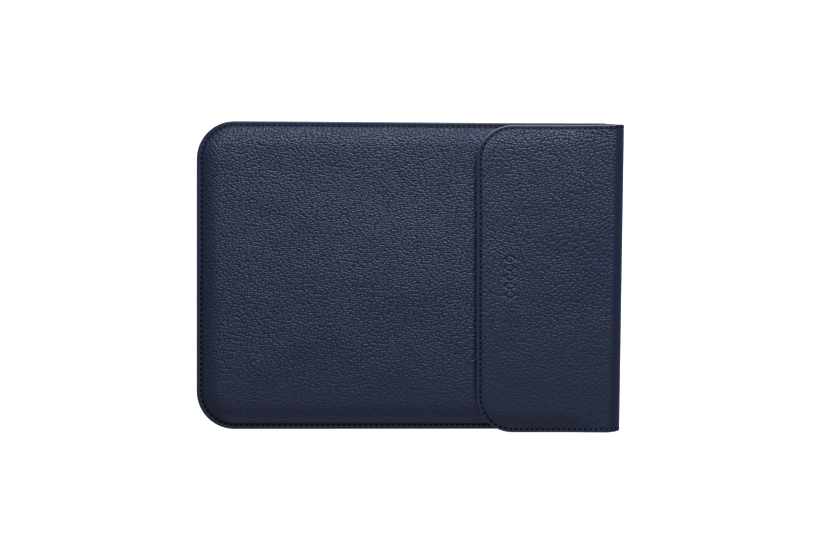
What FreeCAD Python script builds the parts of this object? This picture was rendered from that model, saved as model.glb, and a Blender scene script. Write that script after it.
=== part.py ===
"""A leather laptop sleeve with a fold-over flap, as a parametric FreeCAD document.

The sleeve lies flat.  X runs along its length with the mouth and the fold at +X, Y runs across
it, Z is up, and the origin is at the bottom centre of the closed sleeve.

The pocket is two domed panels sewn together along three sides.  Each panel is three layers:
leather, padding and lining.  The back leather runs on past the mouth into the fold, which is
modelled as three hinged strips, and the last of them carries the flap.  A hidden pair of
magnets in the front panel holds a pair in the flap.

The fold strips and the flap are drawn unrolled, each from its own hinge line: local X away from
the hinge, local Z towards the inside of the fold, and z = 0 at the middle of the leather.
"""
import FreeCAD, Part
import Sketcher
import math
import os
import re

# Driving dimensions in millimetres and degrees: name, value, what it is.
SIZES = (
    ("overall_length", 331.0, "closed sleeve, from the sewn end to the outside of the fold"),
    ("overall_width", 240.0, "across the sleeve, from sewn edge to sewn edge"),
    ("corner_radius", 29.5, "plan radius of the two sewn corners"),
    ("pocket_height", 12.0, "free height inside the pocket"),
    ("leather_thickness", 1.2, "outer leather"),
    ("padding_thickness", 1.2, "foam between leather and lining"),
    ("lining_thickness", 0.6, "inner microsuede"),
    ("seam_margin", 5.0, "flat sewn border outside the shoulder"),
    ("shoulder_angle", 35.0, "lean of the shoulder from the vertical"),
    ("shoulder_radius", 6.0, "rounding where the shoulder meets the flat of the panel"),
    ("mouth_setback", 14.5, "from the outside of the fold back to the mouth of the pocket"),
    ("mouth_strip_width", 10.0, "stiff strip that replaces the padding at the mouth"),
    ("mouth_stitch_inset", 3.5, "mouth edge to its line of stitches"),
    ("flap_reach", 113.0, "from the outside of the fold to the free edge of the flap"),
    ("flap_corner_radius", 28.0, "plan radius of the two flap corners"),
    ("flap_clearance", 0.4, "closed flap above the front panel"),
    ("flap_border", 8.0, "flap edge to the edge of its padding"),
    ("flap_stitch_inset", 2.8, "flap edge to its line of stitches"),
    ("body_stitch_inset", 3.6, "sewn edge to its line of stitches"),
    ("thread_width", 0.7, "width of a laid line of stitches"),
    ("thread_depth", 0.3, "how deep the stitches are bedded, flush with the surface"),
    ("hinge_land", 4.0, "plain leather beside the flap hinge, before the flap outline starts"),
    ("knuckle_clearance", 0.1, "radial gap between the round end of a strip and the next one"),
    ("strip_gap", 0.3, "gap between neighbouring lining strips when the fold is closed"),
    ("magnet_diameter", 14.0, "closure disc"),
    ("magnet_clearance", 0.2, "gap around and above a disc in its hole"),
    ("magnet_spacing", 120.0, "between the two discs of a pair, across the sleeve"),
    ("magnet_inset", 22.0, "free edge of the flap to the disc centres"),
)

FOLD_STRIPS = 3  # rigid strips between the back panel and the flap
STRIP_NAMES = ("lower", "middle", "upper")

# What follows from the driving dimensions: name, formula.
DERIVED = [
    ("half_length", "overall_length / 2"),
    ("half_width", "overall_width / 2"),
    ("wall", "leather_thickness + padding_thickness + lining_thickness"),
    ("seam_height", "wall + pocket_height / 2"),
    ("body_height", "2 * seam_height"),
    ("closed_height", "body_height + flap_clearance + wall"),
    ("mouth_x", "half_length - mouth_setback"),
    ("body_length", "half_length + mouth_x"),
    ("shoulder_start", "seam_margin - (leather_thickness + lining_thickness) * tan(shoulder_angle)"),
    ("knuckle_radius", "leather_thickness / 2"),
    ("recess_radius", "knuckle_radius + knuckle_clearance"),
    ("bend_angle", "180 / %d" % (FOLD_STRIPS + 1)),
    ("strip_length", "(closed_height - leather_thickness) * tan(bend_angle / 2)"),
    ("fold_depth", "knuckle_radius + strip_length * cos(bend_angle)"),
    ("hinge_1_x", "half_length - fold_depth"),
    ("hinge_1_z", "knuckle_radius"),
    ("flap_length", "flap_reach - fold_depth"),
    ("lining_trim", "(knuckle_radius + lining_thickness) * tan(bend_angle / 2) + strip_gap / 2"),
    ("magnet_radius", "magnet_diameter / 2"),
    ("magnet_hole_radius", "magnet_radius + magnet_clearance"),
    ("magnet_thickness", "padding_thickness - magnet_clearance"),
    ("magnet_x", "half_length - flap_reach + magnet_inset"),
]
for index in range(1, FOLD_STRIPS + 1):
    for axis, share in (("x", "cos"), ("z", "sin")):
        step = "strip_length * %s(%d * bend_angle)" % (share, index)
        DERIVED.append(("hinge_%d_%s" % (index + 1, axis), "hinge_%d_%s + %s" % (index, axis, step)))

SIZE_NAMES = {name for name, _, _ in SIZES}
DERIVED_NAMES = {name for name, _ in DERIVED}
FRONT, BACK = 1, -1  # which side of the seam a panel is on
PANEL_OUTLINE = ("body_length", "half_width", "corner_radius")  # sewn edge, from the mouth
WORD = re.compile(r"[a-z][a-z0-9_]*")
NEAR = 1e-4  # how close two coordinates are to count as the same


# ---- the sheets ------------------------------------------------------------------------

def link(formula):
    """The formula with each size's name written as its spreadsheet reference."""
    def reference(found):
        word = found.group(0)
        if word in SIZE_NAMES:
            return "Sizes." + word
        return "Derived." + word if word in DERIVED_NAMES else word
    return WORD.sub(reference, str(formula))


def make_sheets(doc):
    sizes = doc.addObject("Spreadsheet::Sheet", "Sizes")
    for row, (name, amount, meaning) in enumerate(SIZES, start=1):
        sizes.set("A%d" % row, name)
        sizes.set("B%d" % row, str(amount))
        sizes.set("C%d" % row, meaning)
        sizes.setAlias("B%d" % row, name)
    doc.recompute()
    derived = doc.addObject("Spreadsheet::Sheet", "Derived")
    for row, (name, formula) in enumerate(DERIVED, start=1):
        derived.set("A%d" % row, name)
        derived.setAlias("B%d" % row, name)
    for row, (name, formula) in enumerate(DERIVED, start=1):
        derived.set("B%d" % row, "=" + link(formula).replace("Derived.", ""))
    doc.recompute()


def value(formula):
    """What a formula comes to now, for a sketch's starting geometry."""
    return float(DOC.getObject("Sizes").evalExpression(link(formula)))


# ---- bodies, sketches and features -----------------------------------------------------

def new_body(label):
    body = DOC.addObject("PartDesign::Body", label)
    body.Label = label
    return body


def new_sketch(body, name, plane, place):
    """A sketch on one of the body's origin planes, moved by place, a dict of axis to formula."""
    sketch = body.newObject("Sketcher::SketchObject", body.Label + "_" + name)
    support = next(f for f in body.Origin.OriginFeatures if f.Role == plane)
    sketch.AttachmentSupport = [(support, "")]
    sketch.MapMode = "FlatFace"
    for axis, formula in place.items():
        sketch.setExpression("AttachmentOffset.Base." + axis, link(formula))
    return sketch


def dimension(sketch, name, kind, *where, formula):
    """A driving constraint bound to the sheets."""
    number = sketch.addConstraint(Sketcher.Constraint(kind, *where, value(formula)))
    sketch.renameConstraint(number, name)
    sketch.setExpression("Constraints." + name, link(formula))


def constrain(sketch, *rules):
    for rule in rules:
        sketch.addConstraint(Sketcher.Constraint(*rule))


def segment(sketch, x1, y1, x2, y2):
    return sketch.addGeometry(Part.LineSegment(FreeCAD.Vector(x1, y1, 0), FreeCAD.Vector(x2, y2, 0)))


def arc(sketch, x, y, radius, start, end):
    """An arc drawn anticlockwise from start to end, in degrees."""
    circle = Part.Circle(FreeCAD.Vector(x, y, 0), FreeCAD.Vector(0, 0, 1), radius)
    return sketch.addGeometry(Part.ArcOfCircle(circle, math.radians(start), math.radians(end)))


def pad(body, name, sketch, length, symmetric=False, down=False):
    feature = body.newObject("PartDesign::Pad", body.Label + "_" + name)
    feature.Profile = sketch
    feature.SideType = "Symmetric" if symmetric else "One side"
    feature.setExpression("Length", link(length))
    feature.Reversed = down
    DOC.recompute()


def pocket(body, name, sketch, depth, up=False):
    """Cuts the sketch away, down from its plane or up from it."""
    before = body.Shape.Volume
    feature = body.newObject("PartDesign::Pocket", body.Label + "_" + name)
    feature.Profile = sketch
    feature.setExpression("Length", link(depth))
    feature.Reversed = up
    DOC.recompute()
    if body.Shape.Volume >= before:
        raise RuntimeError("%s cut nothing away" % feature.Label)


def level_at(low, high, level):
    """Whether something that spans low to high is flat, at a level."""
    return abs(low - level) < NEAR and abs(high - level) < NEAR


def names_where(kind, items, wanted):
    """The names of the faces or edges whose bounding box is wanted."""
    return ["%s%d" % (kind, number) for number, item in enumerate(items, start=1) if wanted(item.BoundBox)]


def draft_sides(body, name, angle, floor, square_end, flip):
    """Leans every upright face inwards, apart from the square end, about the floor."""
    base, ground, end = body.Tip, value(floor), value(square_end)
    feature = body.newObject("PartDesign::Draft", body.Label + "_" + name)
    feature.Base = (base, names_where("Face", base.Shape.Faces, lambda box: (
        box.ZLength > NEAR and not level_at(box.XMin, box.XMax, end))))
    feature.NeutralPlane = (base, names_where("Face", base.Shape.Faces, lambda box: (
        level_at(box.ZMin, box.ZMax, ground))))
    feature.setExpression("Angle", link(angle))
    feature.Reversed = flip
    DOC.recompute()


def round_edges(body, name, radius, height, square_end):
    """Rounds the edges that lie at a height, apart from the one on the square end."""
    base, level, end = body.Tip, value(height), value(square_end)
    feature = body.newObject("PartDesign::Fillet", body.Label + "_" + name)
    feature.Base = (base, names_where("Edge", base.Shape.Edges, lambda box: (
        level_at(box.ZMin, box.ZMax, level) and not level_at(box.XMin, box.XMax, end))))
    feature.setExpression("Radius", link(radius))
    DOC.recompute()


def hollow(body, name, thickness, floor, square_end):
    """Leaves a shell of a thickness, open at the floor and at the square end."""
    base, ground, end = body.Tip, value(floor), value(square_end)
    feature = body.newObject("PartDesign::Thickness", body.Label + "_" + name)
    feature.Base = (base, names_where("Face", base.Shape.Faces, lambda box: (
        level_at(box.ZMin, box.ZMax, ground) or level_at(box.XMin, box.XMax, end))))
    feature.setExpression("Value", link(thickness))
    feature.Reversed = True
    feature.Join = "Intersection"
    DOC.recompute()


# ---- the outlines ----------------------------------------------------------------------

def tongue_edges(sketch, tag, length, half_width, radius, toward):
    """Two straight sides joined by a far end with round corners, open on the sketch's Y axis.

    toward is +1 or -1, the way that the far end lies.  Returns the two straight sides.
    """
    reach, half, bend = value(length), value(half_width), value(radius)
    far, turn = toward * reach, toward * (reach - bend)
    lower = segment(sketch, 0, -half, turn, -half)
    end = segment(sketch, far, bend - half, far, half - bend)
    upper = segment(sketch, turn, half, 0, half)
    if toward > 0:
        lower_corner = arc(sketch, turn, bend - half, bend, 270, 360)
        upper_corner = arc(sketch, turn, half - bend, bend, 0, 90)
        first, second = 1, 2
    else:
        lower_corner = arc(sketch, turn, bend - half, bend, 180, 270)
        upper_corner = arc(sketch, turn, half - bend, bend, 90, 180)
        first, second = 2, 1
    constrain(
        sketch,
        ("Tangent", lower, 2, lower_corner, first),
        ("Tangent", lower_corner, second, end, 1),
        ("Tangent", end, 2, upper_corner, first),
        ("Tangent", upper_corner, second, upper, 1),
        ("Horizontal", lower),
        ("Vertical", end),
        ("PointOnObject", lower, 1, -2),
        ("Symmetric", upper, 2, lower, 1, -1),
        ("Equal", lower_corner, upper_corner),
    )
    span = (-1, 1, end, 1) if toward > 0 else (end, 1, -1, 1)
    dimension(sketch, tag + "length", "DistanceX", *span, formula=length)
    dimension(sketch, tag + "half_width", "DistanceY", -1, 1, upper, 2, formula=half_width)
    dimension(sketch, tag + "radius", "Radius", upper_corner, formula=radius)
    return lower, upper


def outline_sketch(body, name, place, length, half_width, radius, toward):
    """A plate's outline: square at its start, two round corners at its far end."""
    sketch = new_sketch(body, name, "XY_Plane", place)
    lower, upper = tongue_edges(sketch, "", length, half_width, radius, toward)
    half = value(half_width)
    start = segment(sketch, 0, half, 0, -half)
    constrain(sketch, ("Coincident", upper, 2, start, 1), ("Coincident", start, 2, lower, 1))
    return sketch


def band_sketch(body, name, place, outline, insets, toward):
    """The band of an outline that lies between two insets, open at its start.

    outline is its length, half width and corner radius.
    """
    sketch = new_sketch(body, name, "XY_Plane", place)
    sides = []
    for tag, inset in zip(("outer_", "inner_"), insets):
        sizes = ["%s - (%s)" % (size, inset) for size in outline]
        sides.append(tongue_edges(sketch, tag, *sizes, toward))
    (outer_lower, outer_upper), (inner_lower, inner_upper) = sides
    outer, inner = (value("%s - (%s)" % (outline[1], inset)) for inset in insets)
    top_cap = segment(sketch, 0, outer, 0, inner)
    bottom_cap = segment(sketch, 0, -inner, 0, -outer)
    constrain(
        sketch,
        ("Coincident", outer_upper, 2, top_cap, 1),
        ("Coincident", top_cap, 2, inner_upper, 2),
        ("Coincident", inner_lower, 1, bottom_cap, 1),
        ("Coincident", bottom_cap, 2, outer_lower, 1),
    )
    return sketch


def stitch_insets(inset):
    """The two edges of a line of stitches, as insets from the sewn edge."""
    return inset + " - thread_width / 2", inset + " + thread_width / 2"


def add_rectangle(sketch, tag, x_low, x_high, y_low, y_high):
    """A rectangle between four formulas, each measured from the sketch's origin."""
    left, right, low, high = value(x_low), value(x_high), value(y_low), value(y_high)
    bottom = segment(sketch, left, low, right, low)
    side = segment(sketch, right, low, right, high)
    top = segment(sketch, right, high, left, high)
    close = segment(sketch, left, high, left, low)
    constrain(
        sketch,
        ("Coincident", bottom, 2, side, 1),
        ("Coincident", side, 2, top, 1),
        ("Coincident", top, 2, close, 1),
        ("Coincident", close, 2, bottom, 1),
        ("Horizontal", bottom),
        ("Horizontal", top),
        ("Vertical", side),
        ("Vertical", close),
    )
    dimension(sketch, tag + "x_low", "DistanceX", -1, 1, bottom, 1, formula=x_low)
    dimension(sketch, tag + "x_high", "DistanceX", -1, 1, side, 2, formula=x_high)
    dimension(sketch, tag + "y_low", "DistanceY", -1, 1, bottom, 1, formula=y_low)
    dimension(sketch, tag + "y_high", "DistanceY", -1, 1, side, 2, formula=y_high)


def rectangles_sketch(body, name, place, *rectangles):
    sketch = new_sketch(body, name, "XY_Plane", place)
    for number, corners in enumerate(rectangles):
        add_rectangle(sketch, "part_%d_" % number, *corners)
    return sketch


def circles_sketch(body, name, place, x, radius):
    """Two circles at x, half the magnet spacing each side of the middle."""
    sketch = new_sketch(body, name, "XY_Plane", place)
    for tag, side in (("left", 1), ("right", -1)):
        centre = FreeCAD.Vector(value(x), side * value("magnet_spacing / 2"), 0)
        ring = sketch.addGeometry(Part.Circle(centre, FreeCAD.Vector(0, 0, 1), value(radius)))
        dimension(sketch, tag + "_radius", "Radius", ring, formula=radius)
        dimension(sketch, tag + "_x", "DistanceX", -1, 1, ring, 3, formula=x)
        dimension(sketch, tag + "_y", "DistanceY", -1, 1, ring, 3, formula="%d * magnet_spacing / 2" % side)
    return sketch


def leather_section(body, name, place, length, recess, knuckle):
    """The side view of a leather strip: a recess round its own hinge, a round end on the next."""
    sketch = new_sketch(body, name, "XZ_Plane", place)
    reach, half = value(length), value("knuckle_radius")
    radius, angle = value("recess_radius"), value("bend_angle")
    lean = math.radians(angle)
    lip = (radius - half * math.cos(lean)) / math.sin(lean)
    heel = math.sqrt(radius ** 2 - half ** 2)
    inner = segment(sketch, lip if recess else 0, half, reach, half)
    outer = segment(sketch, reach, -half, heel if recess else 0, -half)
    constrain(sketch, ("Horizontal", inner), ("Horizontal", outer))
    dimension(sketch, "inner_face", "DistanceY", -1, 1, inner, 1, formula="knuckle_radius")
    dimension(sketch, "outer_face", "DistanceY", outer, 2, -1, 1, formula="knuckle_radius")
    if recess:
        bowl = arc(sketch, 0, 0, radius, -math.degrees(math.asin(half / radius)), 90 - angle)
        edge = segment(sketch, radius * math.sin(lean), radius * math.cos(lean), lip, half)
        constrain(
            sketch,
            ("Coincident", bowl, 3, -1, 1),
            ("Coincident", outer, 2, bowl, 1),
            ("Tangent", bowl, 2, edge, 1),
            ("Coincident", edge, 2, inner, 1),
        )
        dimension(sketch, "bowl", "Radius", bowl, formula="recess_radius")
        dimension(sketch, "lip", "DistanceX", -1, 1, bowl, 2, formula="recess_radius * sin(bend_angle)")
    else:
        start = segment(sketch, 0, -half, 0, half)
        constrain(
            sketch,
            ("Coincident", outer, 2, start, 1),
            ("Coincident", start, 2, inner, 1),
            ("PointOnObject", start, 1, -2),
            ("PointOnObject", start, 2, -2),
        )
    if knuckle:
        nose = arc(sketch, reach, 0, half, -90, 90)
        constrain(sketch, ("Tangent", inner, 2, nose, 2), ("Tangent", nose, 1, outer, 1))
        dimension(sketch, "length", "DistanceX", -1, 1, nose, 3, formula=length)
    else:
        end = segment(sketch, reach, half, reach, -half)
        constrain(
            sketch,
            ("Coincident", inner, 2, end, 1),
            ("Coincident", end, 2, outer, 1),
            ("Vertical", end),
        )
        dimension(sketch, "length", "DistanceX", -1, 1, end, 1, formula=length)
    return sketch


# ---- the pocket's panels ---------------------------------------------------------------

def from_seam(side, height):
    """A height above the seam on the front panel, or the same distance below it on the back."""
    return "seam_height %s (%s)" % ("+" if side == FRONT else "-", height)


def shoulder_inset(depth, height):
    """Sewn edge to the leaning shoulder of the layer that lies depth inside the panel's face."""
    return "shoulder_start + (%s) / cos(shoulder_angle) + (%s) * tan(shoulder_angle)" % (depth, height)


def panel_shell(label, side, depth, thickness, base):
    """One layer of a panel: a shell with leaning sides and a rounded top edge, square at the mouth.

    depth is the distance inside the panel's outer face, and base the height it stands on.
    """
    body = new_body(label)
    top, floor = "seam_height - (%s)" % depth, from_seam(side, base)
    sizes = ["%s - (%s)" % (size, shoulder_inset(depth, base)) for size in PANEL_OUTLINE]
    outline = outline_sketch(body, "outline", {"x": "mouth_x", "z": floor}, *sizes, -1)
    pad(body, "block", outline, "(%s) - (%s)" % (top, base), down=side == BACK)
    draft_sides(body, "shoulder", "shoulder_angle", floor, "mouth_x", side == BACK)
    round_edges(body, "rounding", "shoulder_radius - (%s)" % depth, from_seam(side, top), "mouth_x")
    hollow(body, "shell", thickness, floor, "mouth_x")
    return body


def sewn_shell(label, side, depth, thickness, base):
    """A layer with a flat border that runs out to the sewn edge."""
    body = panel_shell(label, side, depth, thickness, base)
    inner_edge = "%s + %s" % (shoulder_inset(depth, base), thickness)
    border = band_sketch(body, "border_outline", {"x": "mouth_x", "z": from_seam(side, base)},
                         PANEL_OUTLINE, ("0", inner_edge), -1)
    pad(body, "border", border, thickness, down=side == BACK)
    return body


def leather_panel(label, side):
    body = sewn_shell(label, side, "0", "leather_thickness", "lining_thickness")
    groove = seam_line(body, "seam_groove", from_seam(side, "lining_thickness + leather_thickness"))
    pocket(body, "seam_cut", groove, "thread_depth", up=side == BACK)
    return body


def lining_panel(label, side):
    return sewn_shell(label, side, "leather_thickness + padding_thickness", "lining_thickness", "0")


def padding_shell(label, side):
    return panel_shell(label, side, "leather_thickness", "padding_thickness", "lining_thickness")


def padding_panel(label, side):
    """The foam, which stops short of the mouth to leave room for the stiff strip."""
    body = padding_shell(label, side)
    cut = rectangles_sketch(body, "mouth_cut_outline", {"x": "mouth_x"},
                            ("-mouth_strip_width", "overall_length", "-overall_width", "overall_width"))
    pocket(body, "mouth_cut", cut, "body_height", up=True)
    return body


def mouth_strip(label, side):
    """The stiff strip between leather and lining along the mouth."""
    body = padding_shell(label, side)
    cut = rectangles_sketch(body, "trim_outline", {"x": "mouth_x"},
                            ("-overall_length * 2", "-mouth_strip_width", "-overall_width", "overall_width"))
    pocket(body, "trim", cut, "body_height", up=True)
    return body


def seam_line(body, name, height):
    """The line of stitches round the three sewn sides."""
    return band_sketch(body, name, {"x": "mouth_x", "z": height}, PANEL_OUTLINE,
                       stitch_insets("body_stitch_inset"), -1)


def mouth_line(body, name, height):
    """The straight line of stitches along the mouth, on the flat of the front panel."""
    flat = ("(half_width - shoulder_start - seam_height * tan(shoulder_angle)"
            " - wall / cos(shoulder_angle) - shoulder_radius)")
    return rectangles_sketch(body, name, {"x": "mouth_x", "z": height},
                             ("-mouth_stitch_inset - thread_width / 2", "-mouth_stitch_inset + thread_width / 2",
                              "-" + flat, flat))


def make_front():
    leather = leather_panel("front_leather", FRONT)
    pocket(leather, "mouth_stitch_cut", mouth_line(leather, "mouth_groove", "body_height"), "thread_depth")
    padding = padding_panel("front_padding", FRONT)
    holes = circles_sketch(padding, "magnet_hole_outline", {"z": "body_height"}, "magnet_x", "magnet_hole_radius")
    pocket(padding, "magnet_holes", holes, "wall")
    lining = lining_panel("front_lining", FRONT)
    ceiling = "body_height - wall"
    pocket(lining, "mouth_stitch_cut", mouth_line(lining, "mouth_groove", ceiling), "thread_depth", up=True)
    mouth_strip("front_mouth_strip", FRONT)


def make_back():
    leather = leather_panel("back_leather", BACK)
    section = leather_section(leather, "tongue_section", {"x": "mouth_x", "y": "knuckle_radius"},
                              "hinge_1_x - mouth_x", recess=False, knuckle=True)
    pad(leather, "tongue", section, "overall_width", symmetric=True)
    padding_panel("back_padding", BACK)
    lining_panel("back_lining", BACK)
    mouth_strip("back_mouth_strip", BACK)
    root = new_body("flap_lining_root")
    sheet = rectangles_sketch(root, "outline", {"x": "mouth_x", "z": "leather_thickness"},
                              ("0", "hinge_1_x - mouth_x - lining_trim", "-half_width", "half_width"))
    pad(root, "sheet", sheet, "lining_thickness")


def make_seam_threads():
    for label, side in (("seam_needle_thread", FRONT), ("seam_bobbin_thread", BACK)):
        body = new_body(label)
        bed = from_seam(side, "lining_thickness + leather_thickness - thread_depth")
        pad(body, "run", seam_line(body, "line", bed), "thread_depth", down=side == BACK)
    for label, height in (("mouth_needle_thread", "body_height - thread_depth"),
                          ("mouth_bobbin_thread", "body_height - wall")):
        body = new_body(label)
        pad(body, "run", mouth_line(body, "line", height), "thread_depth")


def disc(label, side, x, floor):
    """One closure magnet, on the +Y side or the -Y side of the middle."""
    cylinder = DOC.addObject("Part::Cylinder", label)
    cylinder.Label = label
    cylinder.setExpression("Radius", link("magnet_radius"))
    cylinder.setExpression("Height", link("magnet_thickness"))
    cylinder.setExpression("Placement.Base.x", link(x))
    cylinder.setExpression("Placement.Base.y", link("%d * magnet_spacing / 2" % side))
    cylinder.setExpression("Placement.Base.z", link(floor))


# ---- the fold and the flap, drawn unrolled from their hinges ---------------------------

def hang(body, hinge):
    """Puts an unrolled piece on its hinge, turned up by as many bends as lie before it."""
    body.Placement = FreeCAD.Placement(FreeCAD.Vector(), FreeCAD.Rotation(FreeCAD.Vector(0, -1, 0), 1))
    body.setExpression("Placement.Base.x", link("hinge_%d_x" % hinge))
    body.setExpression("Placement.Base.z", link("hinge_%d_z" % hinge))
    body.setExpression("Placement.Rotation.Angle", link("%d * bend_angle" % hinge))
    DOC.recompute()


def side_runs(start, end):
    """The two short stitch runs of a strip, one along each of its side edges."""
    outer, inner = ("(half_width - (%s))" % inset for inset in stitch_insets("flap_stitch_inset"))
    return (start, end, inner, outer), (start, end, "-" + outer, "-" + inner)


def make_fold():
    leather_runs = side_runs("recess_radius", "strip_length")
    lining_runs = side_runs("lining_trim", "strip_length - lining_trim")
    lining_top = "knuckle_radius + lining_thickness"
    for hinge, name in enumerate(STRIP_NAMES, start=1):
        leather = new_body("fold_leather_" + name)
        section = leather_section(leather, "section", {}, "strip_length", recess=True, knuckle=True)
        pad(leather, "strip", section, "overall_width", symmetric=True)
        groove = rectangles_sketch(leather, "groove", {"z": "-knuckle_radius"}, *leather_runs)
        pocket(leather, "stitch_cut", groove, "thread_depth", up=True)
        hang(leather, hinge)

        lining = new_body("fold_lining_" + name)
        sheet = rectangles_sketch(lining, "outline", {"z": "knuckle_radius"},
                                  ("lining_trim", "strip_length - lining_trim", "-half_width", "half_width"))
        pad(lining, "sheet", sheet, "lining_thickness")
        groove = rectangles_sketch(lining, "groove", {"z": lining_top}, *lining_runs)
        pocket(lining, "stitch_cut", groove, "thread_depth")
        hang(lining, hinge)

        needle = new_body("fold_needle_thread_" + name)
        pad(needle, "runs", rectangles_sketch(needle, "line", {"z": "-knuckle_radius"}, *leather_runs),
            "thread_depth")
        hang(needle, hinge)

        bobbin = new_body("fold_bobbin_thread_" + name)
        pad(bobbin, "runs", rectangles_sketch(bobbin, "line", {"z": lining_top + " - thread_depth"}, *lining_runs),
            "thread_depth")
        hang(bobbin, hinge)


def flap_outline(body, name, start, height, inset):
    """The flap's outline drawn in by inset, starting at a distance from the hinge."""
    return outline_sketch(body, name, {"x": start, "z": height}, "flap_length - %s - %s" % (start, inset),
                          "half_width - " + inset, "flap_corner_radius - " + inset, 1)


def flap_line(body, name, height):
    """The line of stitches round the flap's three free sides."""
    return band_sketch(body, name, {"x": "hinge_land", "z": height},
                       ("flap_length - hinge_land", "half_width", "flap_corner_radius"),
                       stitch_insets("flap_stitch_inset"), 1)


def make_flap():
    hinge = FOLD_STRIPS + 1
    face, back = "-knuckle_radius", "knuckle_radius"
    lining_border_top = "knuckle_radius + lining_thickness"

    leather = new_body("flap_leather")
    section = leather_section(leather, "hinge_section", {}, "2 * hinge_land", recess=True, knuckle=False)
    pad(leather, "hinge_edge", section, "overall_width", symmetric=True)
    pad(leather, "plate", flap_outline(leather, "outline", "hinge_land", face, "0"), "leather_thickness")
    pocket(leather, "stitch_cut", flap_line(leather, "groove", face), "thread_depth", up=True)
    hang(leather, hinge)

    padding = new_body("flap_padding")
    pad(padding, "sheet", flap_outline(padding, "outline", "flap_border", back, "flap_border"),
        "padding_thickness")
    holes = circles_sketch(padding, "magnet_hole_outline", {"z": back}, "flap_length - magnet_inset",
                           "magnet_hole_radius")
    pocket(padding, "magnet_holes", holes, "wall", up=True)
    hang(padding, hinge)

    lining = new_body("flap_lining")
    pad(lining, "border", flap_outline(lining, "border_outline", "lining_trim", back, "0"), "lining_thickness")
    wrap = "(flap_border - lining_thickness)"
    pad(lining, "cover", flap_outline(lining, "cover_outline", wrap, back, wrap),
        "padding_thickness + lining_thickness")
    pocket(lining, "padding_room", flap_outline(lining, "room_outline", "flap_border", back, "flap_border"),
           "padding_thickness", up=True)
    pocket(lining, "stitch_cut", flap_line(lining, "groove", lining_border_top), "thread_depth")
    hang(lining, hinge)

    needle = new_body("flap_needle_thread")
    pad(needle, "run", flap_line(needle, "line", face), "thread_depth")
    hang(needle, hinge)
    bobbin = new_body("flap_bobbin_thread")
    bed = lining_border_top + " - thread_depth"
    pad(bobbin, "run", flap_line(bobbin, "line", bed), "thread_depth")
    hang(bobbin, hinge)


def make_magnets():
    """Each pair lies against its leather, in the holes of its padding."""
    in_panel = "body_height - leather_thickness - magnet_thickness"
    in_flap = "closed_height - leather_thickness - magnet_thickness"
    for name, side in (("far", 1), ("near", -1)):
        disc("panel_magnet_" + name, side, "magnet_x", in_panel)
        disc("flap_magnet_" + name, side, "magnet_x", in_flap)


# ---- checking and writing --------------------------------------------------------------

def sub_parts():
    return [o for o in DOC.Objects if o.TypeId in ("PartDesign::Body", "Part::Cylinder")]


def check():
    DOC.recompute()
    for item in DOC.Objects:
        if "Invalid" in item.State or "Error" in item.State:
            raise RuntimeError("%s failed: %s" % (item.Label, item.State))
    for part in sub_parts():
        if part.Shape.isNull() or not part.Shape.isValid() or not part.Shape.Solids:
            raise RuntimeError("%s has no valid solid" % part.Label)


def write():
    os.makedirs("parts", exist_ok=True)
    for part in sub_parts():
        part.Shape.exportStep("parts/%s.step" % part.Label)
        box = part.Shape.BoundBox
        print("%-26s %2d solid(s) %9.1f mm3  x %7.2f..%7.2f  y %7.2f..%7.2f  z %6.2f..%6.2f" % (
            part.Label, len(part.Shape.Solids), part.Shape.Volume,
            box.XMin, box.XMax, box.YMin, box.YMax, box.ZMin, box.ZMax))


DOC = FreeCAD.newDocument("laptop_sleeve")
make_sheets(DOC)
make_back()
make_front()
make_seam_threads()
make_fold()
make_flap()
make_magnets()
check()
write()
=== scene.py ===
"""The looks of the laptop sleeve: tumbled navy leather over foam, painted edges, tonal saddle
stitches and a suede lining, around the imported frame. Lengths are millimetres until a mesh is made."""

import math

import bmesh
import bpy
from mathutils import Matrix, Vector


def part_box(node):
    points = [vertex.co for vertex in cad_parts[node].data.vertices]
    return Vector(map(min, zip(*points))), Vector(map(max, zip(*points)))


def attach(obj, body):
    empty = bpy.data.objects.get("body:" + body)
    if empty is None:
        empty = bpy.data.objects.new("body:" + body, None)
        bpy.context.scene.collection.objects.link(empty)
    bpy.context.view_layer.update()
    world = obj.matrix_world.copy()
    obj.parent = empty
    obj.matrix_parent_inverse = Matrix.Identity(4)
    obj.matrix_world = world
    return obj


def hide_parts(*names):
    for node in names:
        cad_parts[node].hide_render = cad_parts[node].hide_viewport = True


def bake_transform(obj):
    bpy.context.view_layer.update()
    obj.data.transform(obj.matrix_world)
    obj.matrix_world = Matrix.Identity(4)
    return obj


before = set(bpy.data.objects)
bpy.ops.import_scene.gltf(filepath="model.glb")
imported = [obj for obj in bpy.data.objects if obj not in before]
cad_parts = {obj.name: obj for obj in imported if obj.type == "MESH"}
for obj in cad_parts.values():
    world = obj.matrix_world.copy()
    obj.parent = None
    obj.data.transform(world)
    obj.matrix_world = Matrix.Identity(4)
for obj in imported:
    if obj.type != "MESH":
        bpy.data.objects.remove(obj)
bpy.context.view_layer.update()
MM = 0.001


def corners(node):
    """A frame node's lowest and highest corner in millimetres."""
    low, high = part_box(node)
    return low / MM, high / MM


# The frame's own levels and edges
FRONT_LOW, FRONT_HIGH = corners("front_leather")
FLAP_LOW, FLAP_HIGH = corners("flap_leather")
SEAM = corners("front_lining")[0].z
END, MOUTH, HALF = FRONT_LOW.x, FRONT_HIGH.x, FRONT_HIGH.y
FLAP_END, TOP = FLAP_LOW.x, FLAP_HIGH.z
WALL = FRONT_HIGH.z - SEAM
TUBE = TOP / 2
FOLD = corners("fold_leather_middle")[1].x - TUBE

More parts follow.
